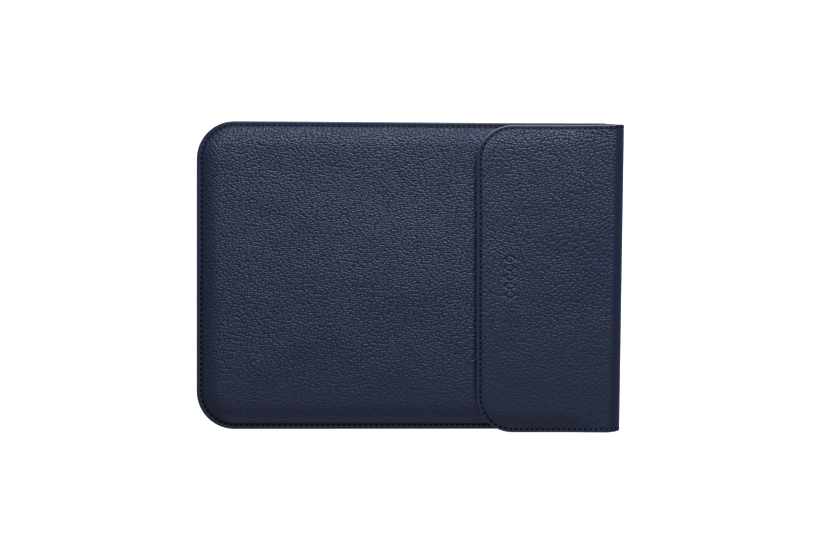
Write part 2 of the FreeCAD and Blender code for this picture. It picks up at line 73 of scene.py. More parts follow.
# The layers, and how the sleeve is sewn
LEATHER, FOAM, LINING = 1.2, 1.2, 0.6
BODY_CORNER, FLAP_CORNER = 29.5, 28.0
BODY_STITCH, FLAP_STITCH = 3.6, 2.8
PITCH = 4.2
TURNED = 1.3
LINING_START = TURNED + 0.1

# How far a turned edge reaches, the room beside it and round the foam, the paint's height over the
# mouth's cut layers, and where the flap's foam ends
EDGE_TURN = 1.75
EDGE_CLEARANCE = 0.04
FOAM_CLEARANCE = 0.02
PAINT_PROUD = 0.12
FLAP_FOAM_END = 146

# The rounded bead on every sewn margin, and the pocket's soft shoulder inside it: where the
# shoulder starts, how wide it is and how soon it rises
BEAD_HEIGHT = 0.45
SHOULDER_START, SHOULDER_WIDTH, SHOULDER_CURVE = 4.0, 14.5, 1.9

# The flap's shoulder, the droop of its two sides and the lift of its free edge over the pocket
FLAP_SHOULDER_START, FLAP_SHOULDER_WIDTH, FLAP_SHOULDER_DROP = 3.0, 9.0, 1.2
FLAP_SIDE_WIDTH, FLAP_SIDE_DROP = 17, 2.2
FLAP_LIFT_WIDTH, FLAP_LIFT = 22, 0.9

# Where the back panel starts to flatten, and the flap to be held, on their way to the fold
TONGUE_START, HOLD_START = 143, 120

# How far inside the outline the foam is cut, in the pocket and in the flap
BODY_FOAM_EDGE, FLAP_FOAM_EDGE = 6.6, 7.6

# The groove that the flap's edge has pressed into the pocket
PRINT_DEPTH = 0.9

# The mark pressed into the flap: its middle, and its lozenges' step and half diagonals
MARK_X, MARK_Y, MARK_STEP = 78.0, 1.0, 7.0
MARK_ALONG, MARK_ACROSS = 4.4, 2.9

# The flat panels' meshes: rings along the margin, squares over the middle, and the spare length
# past an open end, which each piece's trim cuts off
MARGIN_RINGS = (0.25, 0.35, 0.5, 0.6, 0.6, 0.3, 0.2, 0.2, 0.3, 0.3, 0.3, 0.4, 0.6, 1.0,
                1.5, 1.8, 2.0, 2.0, 2.2, 2.6, 3.2)
SQUARE = 4.0
FINE = 0.8
SPARE = 60
CLOTH_STEPS = 20


def smooth(t):
    """0 before t = 0 and 1 after t = 1, with an S between."""
    t = min(max(t, 0.0), 1.0)
    return t * t * (3 - 2 * t)


# ---------------------------------------------------------------- section of the panels


def inset(x, y, end, radius):
    """How far a point lies inside the sewn outline."""
    across, along = HALF - abs(y), x - end
    if across < radius and along < radius:
        return radius - math.hypot(radius - across, radius - along)
    return min(across, along)


def bead(s, stitch):
    """The margin's own height: a rounded bead from the painted edge to the thread's groove."""
    if s < stitch:
        return -BEAD_HEIGHT * (2 * s / stitch - 1) ** 2 - 0.4 * max(0.0, 1 - s / 0.5) ** 2
    return -BEAD_HEIGHT * math.exp(-(((s - stitch) / 0.6) ** 2))


def body_rise(s):
    """From the seam plane up the soft shoulder to the flat."""
    flange = LEATHER + LINING
    far = min(max((s - SHOULDER_START) / SHOULDER_WIDTH, 0.0), 1.0)
    return flange + (WALL - flange) * (1 - (1 - far) ** SHOULDER_CURVE)


def body_foam(s):
    """Thickness of foam, or of the mouth's strip, under the leather."""
    return FOAM * smooth((s - 5.5) / 2.5)


def flap_print(x, y):
    """1 along the line where the flap's free edge has pressed the pocket in, fading at its corners. It
    also masks the shadow painted beside the flap's edge.
    """
    straight = smooth((HALF - FLAP_CORNER - abs(y)) / 7 + 0.5)
    return straight * math.exp(-(((x - FLAP_END + 0.7) / 1.3) ** 2))


def front_level(x, y):
    """Height of the pocket's front, without the bead."""
    s = inset(x, y, END, BODY_CORNER)
    return SEAM + body_rise(s) - PRINT_DEPTH * flap_print(x, y)


def tongue(x):
    """0 on the back panel, 1 where it has flattened into the fold."""
    return smooth((x - TONGUE_START) / (FOLD - TONGUE_START))


def back_level(x, y):
    """Height of the pocket's back, which runs down to the table where it becomes the fold."""
    rise = body_rise(inset(x, y, END, BODY_CORNER))
    return SEAM - rise - (SEAM - rise) * tongue(x)


def fold_hold(x):
    """0 on the free part of the flap, 1 at the fold."""
    return smooth((x - HOLD_START) / (FOLD - HOLD_START))


def flap_level(x, y):
    """Height of the flap's outer face, without its bead and mark."""
    s = inset(x, y, FLAP_END, FLAP_CORNER)
    far = min(max((s - FLAP_SHOULDER_START) / FLAP_SHOULDER_WIDTH, 0.0), 1.0)
    low = TOP - FLAP_SHOULDER_DROP * (1 - far) ** 2
    low -= FLAP_SIDE_DROP * (1 - smooth((HALF - abs(y)) / FLAP_SIDE_WIDTH))
    low += FLAP_LIFT * (1 - smooth((x - FLAP_END) / FLAP_LIFT_WIDTH))
    return low + (TOP - low) * fold_hold(x)


def flap_foam(s, x):
    """Thickness of foam in the flap, which ends before the fold."""
    return FOAM * smooth((s - 6.5) / 3) * (1 - smooth((x - FLAP_FOAM_END) / 5))


def laid(x, y, hide):
    """The sleeve as it lies: a little narrower at its mouth, and its flap a touch askew. hide is 0 on
    the pocket and 1 on the flap."""
    narrow = smooth((x - END) / (MOUTH - END))
    slant = smooth((x - 60) / 90)
    return x + slant * 1.9 * y / HALF, y * (1 - 0.0075 * narrow) - 0.7 * narrow - 2.2 * hide


# ---------------------------------------------------------------- panel meshes


def alone(piece):
    bpy.ops.object.select_all(action="DESELECT")
    piece.select_set(True)
    bpy.context.view_layer.objects.active = piece


def edit(piece):
    """Opens the piece's mesh in edit mode, with nothing selected."""
    alone(piece)
    bpy.ops.object.mode_set(mode="EDIT")
    bpy.ops.mesh.select_all(action="DESELECT")


def select(piece, kind, test):
    """Selects the vertices, edges or faces whose middle, in millimetres, passes a test."""
    mesh = bmesh.from_edit_mesh(piece.data)
    bpy.ops.mesh.select_all(action="DESELECT")
    bpy.ops.mesh.select_mode(type=kind)
    for part in {"VERT": mesh.verts, "EDGE": mesh.edges, "FACE": mesh.faces}[kind]:
        if kind == "VERT":
            middle = part.co
        elif kind == "EDGE":
            middle = (part.verts[0].co + part.verts[1].co) / 2
        else:
            middle = part.calc_center_median()
        if test(middle / MM, part):
            part.select = True
    mesh.select_flush_mode()
    bmesh.update_edit_mesh(piece.data)


def cut(x=None, y=None, keep=None):
    """One straight cut through the mesh being edited; keep drops the far side."""
    bpy.ops.mesh.select_all(action="SELECT")
    place = (x * MM, 0, 0) if x is not None else (0, y * MM, 0)
    bpy.ops.mesh.bisect(
        plane_co=place,
        plane_no=(1, 0, 0) if x is not None else (0, 1, 0),
        clear_inner=keep == "above",
        clear_outer=keep == "below",
    )


def blank(name, low, high, radius, x_cuts, y_cuts):
    """A flat panel: a plane with its two sewn corners rounded, rings along its margin and squares
    over its middle."""
    bpy.ops.object.select_all(action="DESELECT")
    bpy.ops.mesh.primitive_plane_add(size=1)
    panel = bpy.context.object
    panel.name = name
    bpy.ops.object.mode_set(mode="EDIT")
    bpy.ops.transform.resize(value=((high - low) * MM, 2 * HALF * MM, 1))
    bpy.ops.transform.translate(value=((low + high) / 2 * MM, 0, 0))
    if radius:
        select(panel, "VERT", lambda p, v: p.x < low + 1)
        bpy.ops.mesh.bevel(offset=radius * MM, segments=18, affect="VERTICES", profile=0.5)
    bpy.ops.mesh.select_mode(type="FACE")
    bpy.ops.mesh.select_all(action="SELECT")
    for step in MARGIN_RINGS:
        bpy.ops.mesh.inset(thickness=step * MM, use_even_offset=True)
    for x in x_cuts:
        cut(x=x)
    for y in y_cuts:
        cut(y=y)
    bpy.ops.object.mode_set(mode="OBJECT")
    return panel


def spaced(low, high, step):
    """Even places from low to high, about a step apart."""
    count = max(1, round((high - low) / step))
    return [low + (high - low) * i / count for i in range(count + 1)]


def copy_of(piece, name):
    """A copy with its own mesh."""
    new = piece.copy()
    new.data = piece.data.copy()
    new.name = new.data.name = name
    bpy.context.scene.collection.objects.link(new)
    return new


def apply_modifier(piece, kind, **settings):
    """Adds a modifier, sets it and applies it."""
    alone(piece)
    modifier = piece.modifiers.new(kind.title(), kind)
    for name, value in settings.items():
        setattr(modifier, name, value)
    bpy.ops.object.modifier_apply(modifier=modifier.name)


def move_all(piece, place):
    """Sets every vertex from its place in millimetres."""
    for v in piece.data.vertices:
        v.co = Vector(place(*(v.co / MM))) * MM
    piece.data.update()


def attribute(piece, name, value):
    """Writes a number at each vertex for the materials to read."""
    made = piece.data.attributes.new(name, "FLOAT", "POINT")
    made.data.foreach_set("value", [value(*(v.co / MM)) for v in piece.data.vertices])


def finish_piece(piece, finish):
    """Gives a piece its material, and smooth faces between sharp edges."""
    piece.data.materials.clear()
    piece.data.materials.append(finish)
    alone(piece)
    bpy.ops.object.shade_smooth_by_angle(angle=math.radians(35))


def below(level, depth, sign):
    """The surface depth(x, y) under level, measured square to it."""

    def surface(x, y):
        slope_x = (level(x + 0.3, y) - level(x - 0.3, y)) / 0.6
        slope_y = (level(x, y + 0.3) - level(x, y - 0.3)) / 0.6
        return level(x, y) - sign * depth(x, y) * math.sqrt(1 + slope_x**2 + slope_y**2)

    return surface


def held_by_thread(s, x, open_end):
    """1 where a panel is sewn or bound, 0 where the foam may push it out."""
    return max(1 - smooth((s - 5) / 4), smooth((x - open_end) / 5))


def fill_out(piece, held, swell):
    """Lets the foam push a panel out between its stitches: cloth under pressure, held where it is
    sewn, with its movement scaled to at most swell(x, y) millimetres."""
    before = [v.co.copy() for v in piece.data.vertices]
    sewn = piece.vertex_groups.new(name="sewn")
    for v in piece.data.vertices:
        sewn.add([v.index], held(v.co.x / MM, v.co.y / MM), "REPLACE")
    alone(piece)
    cloth = piece.modifiers.new("Cloth", "CLOTH")
    cloth.settings.vertex_group_mass = "sewn"
    cloth.settings.use_pressure = True
    cloth.settings.uniform_pressure_force = 4
    cloth.settings.effector_weights.gravity = 0
    cloth.settings.tension_stiffness = 40
    cloth.settings.bending_stiffness = 2
    cloth.point_cache.frame_start, cloth.point_cache.frame_end = 1, CLOTH_STEPS
    for step in range(1, CLOTH_STEPS + 1):
        bpy.context.scene.frame_set(step)
    bpy.ops.object.modifier_apply(modifier=cloth.name)
    piece.vertex_groups.clear()
    bpy.context.scene.frame_set(1)
    most = max((v.co - old).length for v, old in zip(piece.data.vertices, before))
    for v, old in zip(piece.data.vertices, before):
        v.co = old + (v.co - old) * min(1.0, swell(old.x / MM, old.y / MM) * MM / most)


def sheet_of(
    cut_from,
    name,
    level,
    thickness,
    sign,
    x_from=None,
    x_to=None,
    drop=None,
    turn=None,
    refine=None,
    held=None,
    swell=None,
    thin=None,
):
    """A layer of the sleeve: a copy of a flat panel, trimmed, bent to its level and given its
    thickness inwards. sign is 1 where its outer side is up; turn is the height to which its sewn
    edge is turned; refine picks faces that need a finer mesh; held and swell let it fill out."""
    piece = copy_of(cut_from, name)
    edit(piece)
    if x_to is not None:
        cut(x=x_to, keep="below")
    if x_from is not None:
        cut(x=x_from, keep="above")
    if drop:
        select(piece, "FACE", drop)
        bpy.ops.mesh.delete(type="FACE")
    if refine:
        select(piece, "FACE", refine)
        bpy.ops.mesh.subdivide(number_cuts=7)
    bpy.ops.object.mode_set(mode="OBJECT")
    move_all(piece, lambda x, y, z: (x, y, level(x, y)))
    if held:
        fill_out(piece, held, swell)
    edit(piece)
    if sign < 0:
        bpy.ops.mesh.select_all(action="SELECT")
        bpy.ops.mesh.flip_normals()
    if turn:
        select(piece, "EDGE", lambda p, e: e.is_boundary and turn["edge"](p.x, p.y))
        bpy.ops.mesh.extrude_region_move()
        edge = [v for v in bmesh.from_edit_mesh(piece.data).verts if v.select]
        for v in edge:
            v.co.z = turn["to"](v.co.x / MM, v.co.y / MM) * MM
        bmesh.update_edit_mesh(piece.data)
    bpy.ops.object.mode_set(mode="OBJECT")
    walls = {"thickness": thickness * MM, "offset": -1, "use_even_offset": True}
    if thin:
        group = piece.vertex_groups.new(name="thickness")
        for v in piece.data.vertices:
            group.add([v.index], thin(v.co.x / MM, v.co.y / MM) / thickness, "REPLACE")
        walls["vertex_group"] = "thickness"
    apply_modifier(piece, "SOLIDIFY", **walls)
    return piece


# ---------------------------------------------------------------- materials


def colour(code):
    """An sRGB hex colour as linear light."""
    parts = [int(code[i : i + 2], 16) / 255 for i in (0, 2, 4)]
    return [p / 12.92 if p <= 0.04045 else ((p + 0.055) / 1.055) ** 2.4 for p in parts] + [1.0]


def add(tree, kind, settings=None, links=None):
    """Adds a node, sets its values and links its sockets."""
    node = tree.nodes.new("ShaderNode" + kind)
    for name, value in (settings or {}).items():
        if isinstance(name, int) or name in node.inputs:
            node.inputs[name].default_value = value
        else:
            setattr(node, name, value)
    for name, source in (links or {}).items():
        tree.links.new(source, node.inputs[name])
    return node


def material(name):
    """An empty material, its node tree and its surface shader."""
    made = bpy.data.materials.new(name)
    made.use_nodes = True
    return made, made.node_tree, made.node_tree.nodes["Principled BSDF"]


def tumbled_leather():
    """Full-grain cowhide, tumbled in a drum until it creases into pebbles, pigmented navy: rounded
    pebbles in wavy rows that catch light on one side, smoother where the hide is stretched. A pebble
    is 1.88 mm across. Four attributes steer it: grain is how deep the pebbles are, and also how much
    shade is painted into the hollows between them and how far smooth hide is painted darker for shade;
    pull drags their rows; the one along the flap's free edge paints the flap's shadow there, near black
    and dull; and edge is where the cut edge is painted, in a lighter navy that is partly painted
    highlight."""
    made, tree, shader = material("tumbled_navy_cowhide")
    place = add(tree, "TexCoord").outputs["Object"]
    grain = add(tree, "Attribute", {"attribute_name": "grain"}).outputs["Fac"]
    edge = add(tree, "Attribute", {"attribute_name": "edge"}).outputs["Fac"]
    drift = add(tree, "TexNoise", {"Scale": 1 / (34 * MM), "Detail": 1.0}, {"Vector": place})
    wander = add(
        tree,
        "VectorMath",
        {"operation": "SCALE", "Scale": 5.5 * MM},
        {0: drift.outputs["Color"]},
    )
    jitter = add(tree, "TexNoise", {"Scale": 1 / (3.2 * MM), "Detail": 0.0}, {"Vector": place})
    shake = add(
        tree,
        "VectorMath",
        {"operation": "SCALE", "Scale": 0.4 * MM},
        {0: jitter.outputs["Color"]},
    )
    moved = add(tree, "VectorMath", {"operation": "ADD"}, {0: place, 1: wander.outputs[0]})
    moved = add(tree, "VectorMath", {"operation": "ADD"}, {0: moved.outputs[0], 1: shake.outputs[0]})
    pull = add(tree, "Attribute", {"attribute_name": "pull"}).outputs["Fac"]
    pulled = add(tree, "CombineXYZ", {}, {"Y": pull})
    moved = add(tree, "VectorMath", {"operation": "ADD"}, {0: moved.outputs[0], 1: pulled.outputs[0]})
    stretched = add(
        tree,
        "Mapping",
        {"Scale": (0.76, 1.0, 1.0), "Rotation": (0, 0, math.radians(8))},
        {"Vector": moved.outputs[0]},
    )
    cells = add(
        tree,
        "TexVoronoi",
        {"voronoi_dimensions": "2D", "feature": "F1", "Scale": 1 / (1.88 * MM), "Randomness": 0.7},
        {"Vector": stretched.outputs[0]},
    )
    square = add(tree, "Math", {"operation": "POWER", 1: 2.0}, {0: cells.outputs["Distance"]})
    dome = add(
        tree,
        "Math",
        {"operation": "MULTIPLY_ADD", 1: -2.3, 2: 1.0, "use_clamp": True},
        {0: square.outputs[0]},
    )
    fine = add(tree, "TexNoise", {"Scale": 1 / (0.8 * MM), "Detail": 2.0}, {"Vector": moved.outputs[0]})
    height = add(
        tree,
        "Math",
        {"operation": "MULTIPLY_ADD", 1: 0.1},
        {0: fine.outputs["Fac"], 2: dome.outputs[0]},
    )
    relief = add(tree, "Math", {"operation": "MULTIPLY"}, {0: height.outputs[0], 1: grain})
    bump = add(tree, "Bump", {"Strength": 1.0, "Distance": 0.56 * MM}, {"Height": relief.outputs[0]})
    low = add(tree, "Math", {"operation": "SUBTRACT", 0: 1.0}, {1: dome.outputs[0]})
    crease_shade = add(tree, "Math", {"operation": "MULTIPLY"}, {0: low.outputs[0], 1: grain})
    patch = add(tree, "TexNoise", {"Scale": 1 / (30 * MM), "Detail": 3.0}, {"Vector": place})
    hide = add(
        tree,
        "Mix",
        {"data_type": "RGBA", 6: colour("0e1936"), 7: colour("152241")},
        {0: patch.outputs["Fac"]},
    )
    # Painted shade: where the grain is flat (the bead, the fold and the lower band) the hide is mixed
    # to a darker navy (0d172e), because no pebbles catch the light there
    smooth_hide_shade = add(
        tree,
        "Mix",
        {"data_type": "RGBA", 6: colour("0d172e")},
        {0: grain, 7: hide.outputs[2]},
    )
    # Painted shade: the hollows between pebbles, deeper where the grain is deep, are mixed towards a
    # dark navy (060b1c)
    crease_shaded = add(
        tree,
        "Mix",
        {"data_type": "RGBA", 7: colour("060b1c")},
        {0: crease_shade.outputs[0], 6: smooth_hide_shade.outputs[2]},
    )
    # Painted shadow: along the flap's free edge the hide is mixed to near black (02040c) and made
    # rougher, for the shade beside and under the flap's edge
    painted_flap_shadow = add(tree, "Attribute", {"attribute_name": "painted_flap_shadow"}).outputs["Fac"]
    with_flap_shadow = add(
        tree,
        "Mix",
        {"data_type": "RGBA", 7: colour("02040c")},
        {0: painted_flap_shadow, 6: crease_shaded.outputs[2]},
    )
    # The cut edge's paint: a lighter navy (2b3348), partly the paint's own tone and partly a painted
    # highlight for the light line along the bead's outer edge
    painted = add(
        tree,
        "Mix",
        {"data_type": "RGBA", 7: colour("2b3348")},
        {0: edge, 6: with_flap_shadow.outputs[2]},
    )
    tree.links.new(painted.outputs[2], shader.inputs["Base Color"])
    dull = add(tree, "Math", {"operation": "MAXIMUM"}, {0: crease_shade.outputs[0], 1: painted_flap_shadow})
    rough = add(tree, "MapRange", {"To Min": 0.39, "To Max": 0.7}, {"Value": dull.outputs[0]})
    tree.links.new(rough.outputs[0], shader.inputs["Roughness"])
    tree.links.new(bump.outputs[0], shader.inputs["Normal"])
    shader.inputs["IOR"].default_value = 1.5
    shader.inputs["Specular IOR Level"].default_value = 0.5
    return made


def bonded_thread():
    """Bonded polyester thread, three plies twisted: a darker and bluer navy than the leather. The
    turns are drawn 1.2 mm apart, coarser than the real ones, so that they show."""
    made, tree, shader = material("bonded_navy_polyester_thread")
    place = add(tree, "TexCoord").outputs["Object"]
    ply = add(
        tree,
        "TexWave",
        {"bands_direction": "DIAGONAL", "Scale": 1 / (1.2 * MM), "Distortion": 0.4},
        {"Vector": place},
    )
    tone = add(
        tree,
        "Mix",
        {"data_type": "RGBA", 6: colour("040818"), 7: colour("0c1534")},
        {0: ply.outputs["Fac"]},
    )
    bump = add(tree, "Bump", {"Strength": 0.6, "Distance": 0.08 * MM}, {"Height": ply.outputs["Fac"]})
    tree.links.new(tone.outputs[2], shader.inputs["Base Color"])
    tree.links.new(bump.outputs[0], shader.inputs["Normal"])
    shader.inputs["Roughness"].default_value = 0.6
    return made


def microsuede():
    """Polyester microsuede: a short brushed nap that scatters light at its rim and shows soft clouds.
    The nap is drawn 0.6 mm coarse, because the real fibres are too fine to show."""
    made, tree, shader = material("slate_polyester_microsuede")
    place = add(tree, "TexCoord").outputs["Object"]
    cloud = add(tree, "TexNoise", {"Scale": 1 / (22 * MM), "Detail": 4.0}, {"Vector": place})
    nap = add(tree, "TexNoise", {"Scale": 1 / (0.6 * MM), "Detail": 3.0}, {"Vector": place})
    blend = add(
        tree,
        "Math",
        {"operation": "MULTIPLY_ADD", 1: 0.45},
        {0: nap.outputs["Fac"], 2: cloud.outputs["Fac"]},
    )
    tone = add(
        tree,
        "Mix",
        {"data_type": "RGBA", 6: colour("39445a"), 7: colour("59657c")},
        {0: blend.outputs[0]},
    )
    bump = add(tree, "Bump", {"Strength": 0.5, "Distance": 0.12 * MM}, {"Height": nap.outputs["Fac"]})
    tree.links.new(tone.outputs[2], shader.inputs["Base Color"])
    tree.links.new(bump.outputs[0], shader.inputs["Normal"])
    shader.inputs["Roughness"].default_value = 0.95
    shader.inputs["Sheen Weight"].default_value = 0.35
    return made


def cell_foam():
    """Closed-cell foam: matt and pale, with small pores. It is inside the panels."""
    made, tree, shader = material("closed_cell_foam")
    place = add(tree, "TexCoord").outputs["Object"]
    pores = add(tree, "TexVoronoi", {"Scale": 1 / (0.8 * MM)}, {"Vector": place})
    tone = add(
        tree,
        "Mix",
        {"data_type": "RGBA", 6: colour("8f9399"), 7: colour("c5c8cc")},
        {0: pores.outputs["Distance"]},
    )
    bump = add(
        tree,
        "Bump",
        {"Strength": 0.5, "Distance": 0.2 * MM},
        {"Height": pores.outputs["Distance"]},
    )
    tree.links.new(tone.outputs[2], shader.inputs["Base Color"])
    tree.links.new(bump.outputs[0], shader.inputs["Normal"])
    shader.inputs["Roughness"].default_value = 0.9
    return made


def fibre_board():
    """Pressed leather-fibre board, which keeps the mouth's edge straight: brown, dry and matt, with
    short fibres."""
    made, tree, shader = material("pressed_fibre_board")
    place = add(tree, "TexCoord").outputs["Object"]
    fibres = add(
        tree,
        "TexNoise",
        {"Scale": 1 / (1.5 * MM), "Detail": 4.0, "Distortion": 1.5},
        {"Vector": place},
    )
    tone = add(
        tree,
        "Mix",
        {"data_type": "RGBA", 6: colour("5a4634"), 7: colour("84694d")},
        {0: fibres.outputs["Fac"]},
    )
    tree.links.new(tone.outputs[2], shader.inputs["Base Color"])
    shader.inputs["Roughness"].default_value = 0.85
    return made


def nickel():
    """Nickel-plated neodymium: a bright warm-grey metal with fine tumbling marks."""
    made, tree, shader = material("nickel_plated_neodymium")
    place = add(tree, "TexCoord").outputs["Object"]
    marks = add(tree, "TexNoise", {"Scale": 1 / (1.0 * MM), "Detail": 5.0}, {"Vector": place})
    rough = add(tree, "MapRange", {"To Min": 0.2, "To Max": 0.4}, {"Value": marks.outputs["Fac"]})
    tree.links.new(rough.outputs[0], shader.inputs["Roughness"])
    shader.inputs["Base Color"].default_value = colour("c8c3bb")
    shader.inputs["Metallic"].default_value = 1.0
    return made


def edge_paint():
    """Acrylic edge paint: a smooth satin navy bead over the cut layers, slightly uneven from the
    brush."""
    made, tree, shader = material("acrylic_edge_paint")
    place = add(tree, "TexCoord").outputs["Object"]
    brush = add(tree, "TexNoise", {"Scale": 1 / (3 * MM), "Detail": 2.0}, {"Vector": place})
    tone = add(
        tree,
        "Mix",
        {"data_type": "RGBA", 6: colour("151c2c"), 7: colour("1d2538")},
        {0: brush.outputs["Fac"]},
    )
    bump = add(tree, "Bump", {"Strength": 0.3, "Distance": 0.1 * MM}, {"Height": brush.outputs["Fac"]})
    tree.links.new(tone.outputs[2], shader.inputs["Base Color"])
    tree.links.new(bump.outputs[0], shader.inputs["Normal"])
    shader.inputs["Roughness"].default_value = 0.38
    return made


def punched_hole_shade():
    """A needle's slit in the hide: raw and matt, painted almost black and given almost no reflection,
    for the shade inside it where no light gets in.
    """
    made, tree, shader = material("punched_slit_painted_shade")
    place = add(tree, "TexCoord").outputs["Object"]
    torn = add(tree, "TexNoise", {"Scale": 1 / (0.5 * MM), "Detail": 2.0}, {"Vector": place})
    tone = add(
        tree,
        "Mix",
        {"data_type": "RGBA", 6: colour("04060c"), 7: colour("0b0f1a")},
        {0: torn.outputs["Fac"]},
    )
    tree.links.new(tone.outputs[2], shader.inputs["Base Color"])
    shader.inputs["Roughness"].default_value = 1.0
    shader.inputs["Specular IOR Level"].default_value = 0.05
    return made


LEATHER_SKIN = tumbled_leather()
THREAD = bonded_thread()
SUEDE = microsuede()
FOAM_CORE = cell_foam()
BOARD = fibre_board()
NICKEL = nickel()
PAINT = edge_paint()
HOLE_SHADE = punched_hole_shade()

# ---------------------------------------------------------------- flat panels


BODY_BLANK = blank(
    "body_blank",
    END,
    FOLD + SPARE,
    BODY_CORNER,
    spaced(END + BODY_CORNER, MOUTH, SQUARE)
    + spaced(FLAP_END - 5, FLAP_END + 3, FINE)
    + spaced(MOUTH, FOLD, FINE)[1:],
    spaced(-HALF + BODY_CORNER, HALF - BODY_CORNER, SQUARE),
)
FLAP_BLANK = blank(
    "flap_blank",
    FLAP_END,
    FOLD + SPARE,
    FLAP_CORNER,
    spaced(FLAP_END + FLAP_CORNER, FOLD, SQUARE),
    spaced(-HALF + FLAP_CORNER, HALF - FLAP_CORNER, SQUARE),
)

# One strip of the fold is an eighth of a turn of hide
STRIP = math.radians(45) * TUBE
FOLD_BLANK = blank(
    "fold_blank",
    -SPARE,
    STRIP + SPARE,
    0,
    spaced(0, STRIP, STRIP / 8),
    spaced(-96, 96, 4 * SQUARE),
)


def bare_margin(x, y, stitch, end, radius):
    """How much of the grain shows: none on the bead, all of it inside the stitches."""
    return smooth((inset(x, y, end, radius) - stitch - 0.1) / 1.2)


def panel_grain(x, y, z):
    """The pocket's grain: deepest on its far shoulder, and flat along its lower side, where the hide
    is pulled tight. Where it is flat, the hide is also painted darker for shade."""
    depth = 0.42 + 0.36 * smooth((y + HALF - 4) / 70) + 0.5 * smooth((y - HALF + 22) / 14)
    return bare_margin(x, y, BODY_STITCH, END, BODY_CORNER) * depth


def flap_fade(y):
    """The flap's grain is flatter towards its lower side, where the hide is also painted darker for
    shade.
    """
    return 0.38 + 0.34 * smooth((y + HALF - 4) / 130) + 0.4 * smooth((y - HALF + 22) / 14)


def pocket_pull(x, y, z):
    """How far the rows of pebbles are dragged from straight, in metres: they run down into the far
    corner and up towards the flap."""
    corner = 14 * (1 - math.exp(-(x - END) / 28)) * smooth((y + 20) / 110)
    near_flap = 9 * math.exp(-abs(FLAP_END - x) / 22) * smooth((y + 10) / 90)
    return (corner - near_flap) * MM


def flap_pull(x, y, z):
    """The same on the flap: steep beside the stitches of its free edge, and rising to the fold."""
    beside_edge = 9 * (1 - math.exp(-max(0.0, x - FLAP_END) / 9))
    to_fold = 0.3 * max(0.0, x - 90) * smooth((y + 30) / 90)
    return (beside_edge - to_fold) * MM


def pressed(x, y):
    """Depth, in millimetres, of the mark pressed into the flap: five plain lozenges in a row."""
    row = (y - MARK_Y) / MARK_STEP
    near = min(max(round(row), -2), 2)
    ring = abs(abs(x - MARK_X) / MARK_ALONG + abs(row - near) * MARK_STEP / MARK_ACROSS - 1) * 2.4
    return 0.5 * (1 - smooth((ring - 0.3) / 0.5))


def flap_grain(x, y, z):
    """The flap's grain, pressed flat where the mark is."""
    margin = bare_margin(x, y, FLAP_STITCH, FLAP_END, FLAP_CORNER)
    return margin * flap_fade(y) * (1 - 1.9 * pressed(x, y))


def painted_edge(end, radius):
    """1 on the cut edge and just round it, for the edge attribute."""
    return lambda x, y, z: 1 - smooth((inset(x, y, end, radius) - 0.7) / 0.5)


def sewn_side(end, radius):
    """A test of whether a place is on the sewn outline, where the edge is turned."""
    return lambda x, y: inset(x, y, end, radius) < 0.05


def body_margin(x, y, flat=0.0):
    """The bead on the pocket's margin; its stitches move out to the flap's line on the tongue."""
    return bead(inset(x, y, END, BODY_CORNER), BODY_STITCH + (FLAP_STITCH - BODY_STITCH) * flat)


def on_body(test):
    """Turns a test of the inset into one of a face's middle."""
    return lambda p, face: test(inset(p.x, p.y, END, BODY_CORNER))


def pockets(nodes):
    """A test of whether a face lies where a magnet is let into the foam."""
    discs = [corners(node) for node in nodes]
    places = [((low + high) / 2, (high.x - low.x) / 2 + 1) for low, high in discs]
    return lambda p: any((p.xy - middle.xy).length < reach for middle, reach in places)


def seat(piece, body, hide=0.0):
    """Lays a finished mesh askew as the sleeve lies, and lets it ride on its body."""
    move_all(piece, lambda x, y, z: (*laid(x, y, hide), z))
    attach(piece, body)


# ---------------------------------------------------------------- the pocket's front

front = sheet_of(
    BODY_BLANK,
    "front_panel",
    lambda x, y: front_level(x, y) + body_margin(x, y),
    LEATHER,
    1,
    x_to=MOUTH,
    held=lambda x, y: held_by_thread(inset(x, y, END, BODY_CORNER), x, MOUTH - 6),
    swell=lambda x, y: 1.1 - 0.9 * smooth((x - FLAP_END + 12) / 13),
    turn={"edge": sewn_side(END, BODY_CORNER), "to": lambda x, y: SEAM + EDGE_CLEARANCE},
)
attribute(front, "grain", panel_grain)
attribute(front, "edge", painted_edge(END, BODY_CORNER))
attribute(front, "pull", pocket_pull)
# The mask along the flap's free edge also carries the shadow painted beside it
attribute(front, "painted_flap_shadow", lambda x, y, z: flap_print(x, y))
finish_piece(front, LEATHER_SKIN)
seat(front, "sleeve")
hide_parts("front_leather")

PANEL_MAGNETS = ("panel_magnet_far", "panel_magnet_near")
FLAP_MAGNETS = ("flap_magnet_far", "flap_magnet_near")


def body_core(name, level, sign, x_from, x_to, core_material, node, holes=()):
    """Foam, or the strip along the mouth, between leather and lining."""
    holed = pockets(holes)
    core = sheet_of(
        BODY_BLANK,
        name,
        below(level, lambda x, y: LEATHER + FOAM_CLEARANCE, sign),
        FOAM - 2 * FOAM_CLEARANCE,
        sign,
        x_from=x_from,
        x_to=x_to,
        drop=lambda p, face: inset(p.x, p.y, END, BODY_CORNER) < BODY_FOAM_EDGE or holed(p),
    )
    finish_piece(core, core_material)
    seat(core, "sleeve")
    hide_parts(node)
    return core


STRIP_START = corners("front_mouth_strip")[0].x
front_foam = body_core(
    "front_foam",
    front_level,
    1,
    None,
    STRIP_START,
    FOAM_CORE,
    "front_padding",
    PANEL_MAGNETS,
)
body_core("front_strip", front_level, 1, STRIP_START, MOUTH, BOARD, "front_mouth_strip")
back_foam = body_core(
    "back_foam", back_level, -1, None, STRIP_START, FOAM_CORE, "back_padding"
)
body_core("back_strip", back_level, -1, STRIP_START, MOUTH - 2, BOARD, "back_mouth_strip")

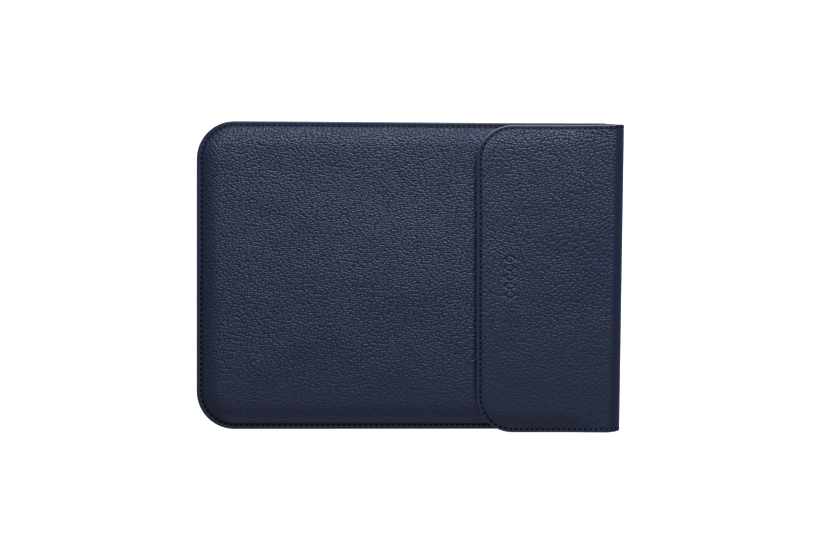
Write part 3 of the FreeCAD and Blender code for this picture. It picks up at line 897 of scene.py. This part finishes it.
front_lining = sheet_of(
    BODY_BLANK,
    "front_lining_cloth",
    below(front_level, lambda x, y: LEATHER + body_foam(inset(x, y, END, BODY_CORNER)), 1),
    LINING,
    1,
    x_to=MOUTH,
    drop=on_body(lambda s: s < LINING_START),
)
finish_piece(front_lining, SUEDE)
seat(front_lining, "sleeve")
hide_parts("front_lining")

mouth_edge = sheet_of(
    BODY_BLANK,
    "front_mouth_edge",
    lambda x, y: front_level(x, y) + PAINT_PROUD,
    LEATHER + FOAM + LINING + 2 * PAINT_PROUD,
    1,
    x_from=MOUTH,
    x_to=MOUTH + FINE,
    drop=on_body(lambda s: s < 0.5),
    thin=lambda x, y: LEATHER + LINING + 2 * PAINT_PROUD + body_foam(inset(x, y, END, BODY_CORNER)),
)
apply_modifier(mouth_edge, "BEVEL", width=0.35 * MM, segments=3, angle_limit=math.radians(50))
finish_piece(mouth_edge, PAINT)
seat(mouth_edge, "sleeve")

# ---------------------------------------------------------------- the back, one hide with the flap

back = sheet_of(
    BODY_BLANK,
    "back_panel",
    lambda x, y: back_level(x, y) - body_margin(x, y, tongue(x)),
    LEATHER,
    -1,
    x_to=FOLD,
    turn={
        "edge": sewn_side(END, BODY_CORNER),
        "to": lambda x, y: min(SEAM - EDGE_CLEARANCE, back_level(x, y) + EDGE_TURN),
    },
)
attribute(back, "grain", panel_grain)
attribute(back, "edge", painted_edge(END, BODY_CORNER))
attribute(back, "pull", pocket_pull)
finish_piece(back, LEATHER_SKIN)
seat(back, "sleeve")
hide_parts("back_leather")


def back_core(x, y):
    """Depth of the back's lining under its leather, less where foam and strip end before the fold."""
    foam = body_foam(inset(x, y, END, BODY_CORNER))
    return LEATHER + foam * (1 - smooth((x - MOUTH + 2) / 5))


back_lining = sheet_of(
    BODY_BLANK,
    "back_lining_cloth",
    below(back_level, back_core, -1),
    LINING,
    -1,
    x_to=FOLD,
    drop=on_body(lambda s: s < LINING_START),
)
finish_piece(back_lining, SUEDE)
seat(back_lining, "sleeve")
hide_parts("back_lining", "flap_lining_root")

# ---------------------------------------------------------------- the flap


def flap_face(x, y):
    """The flap's outer face: its level, the bead on its margin and the pressed mark."""
    margin = bead(inset(x, y, FLAP_END, FLAP_CORNER), FLAP_STITCH)
    return flap_level(x, y) + margin - pressed(x, y)


flap = sheet_of(
    FLAP_BLANK,
    "flap_panel",
    flap_face,
    LEATHER,
    1,
    x_to=FOLD,
    refine=lambda p, face: abs(p.x - MARK_X) < 7 and abs(p.y - MARK_Y) < 19,
    held=lambda x, y: held_by_thread(inset(x, y, FLAP_END, FLAP_CORNER), x, FOLD - 6),
    swell=lambda x, y: 0.35,
    turn={"edge": sewn_side(FLAP_END, FLAP_CORNER), "to": lambda x, y: flap_level(x, y) - EDGE_TURN},
)
attribute(flap, "grain", flap_grain)
attribute(flap, "edge", painted_edge(FLAP_END, FLAP_CORNER))
attribute(flap, "pull", flap_pull)
finish_piece(flap, LEATHER_SKIN)
seat(flap, "flap", 1.0)
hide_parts("flap_leather")

in_flap_pocket = pockets(FLAP_MAGNETS)


def outside_flap_foam(p, face):
    """A test of whether a face lies past the foam's edge or in a magnet's pocket."""
    return inset(p.x, p.y, FLAP_END, FLAP_CORNER) < FLAP_FOAM_EDGE or in_flap_pocket(p)


flap_core = sheet_of(
    FLAP_BLANK,
    "flap_foam",
    below(flap_level, lambda x, y: LEATHER + FOAM_CLEARANCE, 1),
    FOAM - 2 * FOAM_CLEARANCE,
    1,
    x_to=FLAP_FOAM_END,
    drop=outside_flap_foam,
)
finish_piece(flap_core, FOAM_CORE)
seat(flap_core, "flap", 1.0)
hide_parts("flap_padding")

flap_lining = sheet_of(
    FLAP_BLANK,
    "flap_lining_cloth",
    below(flap_level, lambda x, y: LEATHER + flap_foam(inset(x, y, FLAP_END, FLAP_CORNER), x), 1),
    LINING,
    1,
    x_to=FOLD,
    drop=lambda p, face: inset(p.x, p.y, FLAP_END, FLAP_CORNER) < LINING_START,
)
finish_piece(flap_lining, SUEDE)
seat(flap_lining, "flap", 1.0)
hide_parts("flap_lining")

# ---------------------------------------------------------------- the fold, in four strips

FOLD_NODES = ("lower", "middle", "middle", "upper")


def round_fold(x, height):
    """A place on the fold's half tube: x runs along the hide from the back, height is outwards."""
    angle = x / TUBE - math.pi / 2
    radius = TUBE + height
    return FOLD + radius * math.cos(angle), TUBE + radius * math.sin(angle)


def bend_with(piece):
    """Bakes the piece's placement into its mesh."""
    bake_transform(piece)


def fold_piece(index, piece, finish, node):
    """Rolls a flat strip into its eighth of a turn."""

    def rolled(x, y, z):
        along = index * STRIP + x
        place = round_fold(along, z)
        return (*laid(place[0], y, along / (4 * STRIP)), place[1])

    move_all(piece, rolled)
    finish_piece(piece, finish)
    bend_with(piece)
    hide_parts(node)


def fold_grain(index):
    """The grain on one strip: it fades where the hide is pulled tight round the outside, and there the
    hide is also painted darker for shade.
    """

    def value(x, y, z):
        place = round_fold(index * STRIP + x, 0)[0]
        margin = smooth((HALF - abs(y) - FLAP_STITCH - 0.1) / 1.2)
        return margin * (1 - 0.92 * smooth((place - FOLD - 0.5) / 5.5)) * flap_fade(y)

    return value


for index, node in enumerate(FOLD_NODES):
    hide = sheet_of(
        FOLD_BLANK,
        f"fold_hide_{index + 1}",
        lambda x, y: bead(HALF - abs(y), FLAP_STITCH),
        LEATHER,
        1,
        x_from=0,
        x_to=STRIP,
        turn={"edge": lambda x, y: HALF - abs(y) < 0.05, "to": lambda x, y: -EDGE_TURN},
    )
    attribute(hide, "grain", fold_grain(index))
    attribute(hide, "edge", lambda x, y, z: 1 - smooth((HALF - abs(y) - 0.5) / 0.5))
    fold_piece(index, hide, LEATHER_SKIN, f"fold_leather_{node}")
    cloth = sheet_of(
        FOLD_BLANK,
        f"fold_lining_{index + 1}",
        lambda x, y: -LEATHER,
        LINING,
        1,
        x_from=0,
        x_to=STRIP,
        drop=lambda p, face: HALF - abs(p.y) < LINING_START,
    )
    fold_piece(index, cloth, SUEDE, f"fold_lining_{node}")

# ---------------------------------------------------------------- stitches

# Half a stitch's length, its slant to the seam, how deep a run sinks that must lie flush and one on
# the fold, and where the row along the mouth ends
STITCH_HALF = 1.4
SLANT = math.radians(14)
FLUSH_SINK = 0.1
FOLD_SINK = 0.28
MOUTH_ROW_END = 99


def drooped(x, y, z):
    """A stitch's place, narrowed and lowered towards the stitch's two ends."""
    share = x / STITCH_HALF
    return x, y * (1 - 0.2 * share**4), z - 0.4 * abs(share) ** 4


def one_stitch():
    """A stitch along X: a drop of thread whose two ends dive into the punched hole beside it."""
    bpy.ops.object.select_all(action="DESELECT")
    bpy.ops.mesh.primitive_uv_sphere_add(segments=6, ring_count=6, radius=MM)
    stitch = bpy.context.object
    bpy.ops.object.mode_set(mode="EDIT")
    bpy.ops.transform.rotate(value=math.pi / 2, orient_axis="Y", center_override=(0, 0, 0))
    bpy.ops.transform.resize(value=(STITCH_HALF, 0.52, 0.34))
    bpy.ops.object.mode_set(mode="OBJECT")
    move_all(stitch, drooped)
    stitch.data.materials.append(THREAD)
    # The hole: a thin disc painted near black for the shade inside the needle's slit
    bpy.ops.object.select_all(action="DESELECT")
    bpy.ops.mesh.primitive_uv_sphere_add(segments=8, ring_count=3, radius=MM)
    hole = bpy.context.object
    bpy.ops.object.mode_set(mode="EDIT")
    bpy.ops.transform.resize(value=(1.25, 0.72, 0.1))
    bpy.ops.transform.translate(value=(PITCH / 2 * MM, 0, -0.02 * MM))
    bpy.ops.object.mode_set(mode="OBJECT")
    hole.data.materials.append(HOLE_SHADE)
    stitch.select_set(True)
    bpy.context.view_layer.objects.active = stitch
    bpy.ops.object.join()
    bpy.ops.object.shade_smooth_by_angle(angle=math.radians(60))
    return stitch


STITCH = one_stitch()


def sew(name, places, body, nodes, hide=0.0, sign=1, sink=0.12):
    """One run of stitches: copies of the stitch at (x, y, heading, surface) joined into a piece."""
    copies = []
    for x, y, heading, level in places:
        run = Vector((math.cos(heading), math.sin(heading), 0))
        rise = level(x + run.x * 0.5, y + run.y * 0.5) - level(x - run.x * 0.5, y - run.y * 0.5)
        run = Vector((run.x, run.y, rise)).normalized()
        up = Vector((0, 0, sign))
        side = up.cross(run).normalized()
        up = run.cross(side)
        turned = Matrix((run, side, up)).transposed() @ Matrix.Rotation(SLANT, 3, "Z")
        place = turned.to_4x4()
        place.translation = Vector((x, y, level(x, y) - sign * sink)) * MM
        copy = copy_of(STITCH, name)
        copy.data.transform(place)
        copies.append(copy)
    run = join_run(name, copies, nodes)
    seat(run, body, hide)


def join_run(name, copies, nodes):
    """Joins the copied stitches into one piece, which stands for its thread nodes."""
    alone(copies[0])
    for copy in copies:
        copy.select_set(True)
    bpy.ops.object.join()
    run = copies[0]
    run.name = name
    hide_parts(*nodes)
    return run


def round_path(end, radius, stitch, start_x):
    """Places and headings along a sewn outline at the stitch pitch, from one open end to the other."""
    bow = HALF - radius
    straight, turn = start_x - end - radius, math.pi / 2 * (radius - stitch)
    length = 2 * straight + 2 * turn + 2 * bow
    count = round(length / PITCH)
    places = []
    for i in range(count):
        far = (i + 0.5) * length / count
        side = 1
        if far > length / 2:
            far, side = length - far, -1
        if far < straight:
            x, y, heading = start_x - far, HALF - stitch, math.pi
        elif far < straight + turn:
            angle = (far - straight) / (radius - stitch)
            x = end + radius - (radius - stitch) * math.sin(angle)
            y = bow + (radius - stitch) * math.cos(angle)
            heading = math.pi + angle
        else:
            x, y, heading = end + stitch, bow - (far - straight - turn), math.pi * 1.5
        places.append((x, side * y, heading if side > 0 else -heading))
    return places


def on_level(places, level):
    """Gives every place on a path the surface that it lies on."""
    return [(x, y, heading, level) for x, y, heading in places]


seam = round_path(END, BODY_CORNER, BODY_STITCH, MOUTH - 4)
sew("seam_needle_stitches", on_level(seam, front_level), "sleeve", ["seam_needle_thread"])
sew("seam_bobbin_stitches", on_level(seam, back_level), "sleeve", ["seam_bobbin_thread"], sign=-1)

rim = round_path(FLAP_END, FLAP_CORNER, FLAP_STITCH, FOLD)
sew("flap_needle_stitches", on_level(rim, flap_level), "flap", ["flap_needle_thread"], hide=1.0)
rim_under = below(flap_level, lambda x, y: LEATHER + LINING, 1)
sew(
    "flap_bobbin_stitches",
    on_level(rim, rim_under),
    "flap",
    ["flap_bobbin_thread"],
    hide=1.0,
    sign=-1,
    sink=FLUSH_SINK,
)

mouth_rows = [(MOUTH - 3.5, y, math.pi / 2) for y in spaced(-MOUTH_ROW_END, MOUTH_ROW_END, PITCH)]
sew(
    "mouth_needle_stitches",
    on_level(mouth_rows, front_level),
    "sleeve",
    ["mouth_needle_thread"],
    sink=FLUSH_SINK,
)
mouth_under = below(front_level, lambda x, y: LEATHER + FOAM + LINING, 1)
sew(
    "mouth_bobbin_stitches",
    on_level(mouth_rows, mouth_under),
    "sleeve",
    ["mouth_bobbin_thread"],
    sign=-1,
    sink=FLUSH_SINK,
)

for index, node in enumerate(FOLD_NODES):
    copies = []
    for side in (1, -1):
        for share in (0.25, 0.75):
            for sink, turned_over in ((FOLD_SINK, True), (LEATHER + LINING - FLUSH_SINK, False)):
                along = (index + share) * STRIP
                x, z = round_fold(along, -sink)
                angle = along / TUBE
                copy = copy_of(STITCH, "fold_stitch")
                turn_in = Matrix.Rotation(-angle, 4, "Y") @ Matrix.Rotation(SLANT * side, 4, "Z")
                if turned_over:
                    turn_in = turn_in @ Matrix.Rotation(math.pi, 4, "X")
                turn_in.translation = Vector((x, side * (HALF - FLAP_STITCH), z)) * MM
                copy.data.transform(turn_in)
                hide_share = along / (4 * STRIP)
                move_all(copy, lambda a, b, c: (*laid(a, b, hide_share), c))
                copies.append(copy)
    threads = [f"fold_needle_thread_{node}", f"fold_bobbin_thread_{node}"]
    run = join_run(f"fold_stitches_{index + 1}", copies, threads)
    bend_with(run)

for name in PANEL_MAGNETS + FLAP_MAGNETS:
    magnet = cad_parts[name]
    magnet.data.materials.clear()
    magnet.data.materials.append(NICKEL)
bpy.data.objects.remove(STITCH)

# ---------------------------------------------------------------- floor, light and camera

bpy.ops.object.select_all(action="DESELECT")
bpy.ops.mesh.primitive_plane_add(size=40, location=(0, 0, -0.0003))
floor = bpy.context.object
floor.name = "studio_floor"
# Matt white card, which is lit evenly to white, so the sleeve's outline stays crisp
made, tree, shader = material("white_studio_card")
shader.inputs["Base Color"].default_value = colour("f4f4f4")
shader.inputs["Roughness"].default_value = 0.9
shader.inputs["Emission Color"].default_value = colour("ffffff")
shader.inputs["Emission Strength"].default_value = 1.0
floor.data.materials.append(made)
floor.visible_glossy = False
floor.visible_diffuse = False


def softbox(name, place, target, size, power):
    """A soft area light that looks at a point."""
    lamp = bpy.data.lights.new(name, "AREA")
    lamp.shape = "RECTANGLE"
    lamp.size, lamp.size_y = size
    lamp.energy = power
    lamp.color = colour("edf2ff")[:3]
    holder = bpy.data.objects.new(name, lamp)
    bpy.context.scene.collection.objects.link(holder)
    holder.location = place
    holder.rotation_euler = (Vector(target) - Vector(place)).to_track_quat("-Z", "Y").to_euler()


softbox("far_softbox", (0.18, 1.2, 0.57), (0, 0, 0), (1.0, 0.42), 31)
softbox("near_softbox", (0, -1.2, 0.4), (0, 0, 0), (1.0, 0.4), 1.2)
softbox("overhead_softbox", (0, 0, 2.2), (0, 0, 0), (1.5, 1.5), 3)

world = bpy.data.worlds.new("studio_walls")
bpy.context.scene.world = world
world.use_nodes = True
background = world.node_tree.nodes["Background"]
background.inputs["Color"].default_value = colour("dce6ff")
background.inputs["Strength"].default_value = 0.35
bpy.context.scene.view_settings.view_transform = "Standard"
bpy.context.scene.view_settings.look = "None"

camera_data = bpy.data.cameras.new("camera")
camera_data.lens = 88
camera_data.sensor_width = 36
camera = bpy.data.objects.new("camera", camera_data)
bpy.context.scene.collection.objects.link(camera)
camera.location = (0.0085, -0.0039, 1.609)
bpy.context.scene.camera = camera

for piece in (BODY_BLANK, FLAP_BLANK, FOLD_BLANK):
    bpy.data.objects.remove(piece)
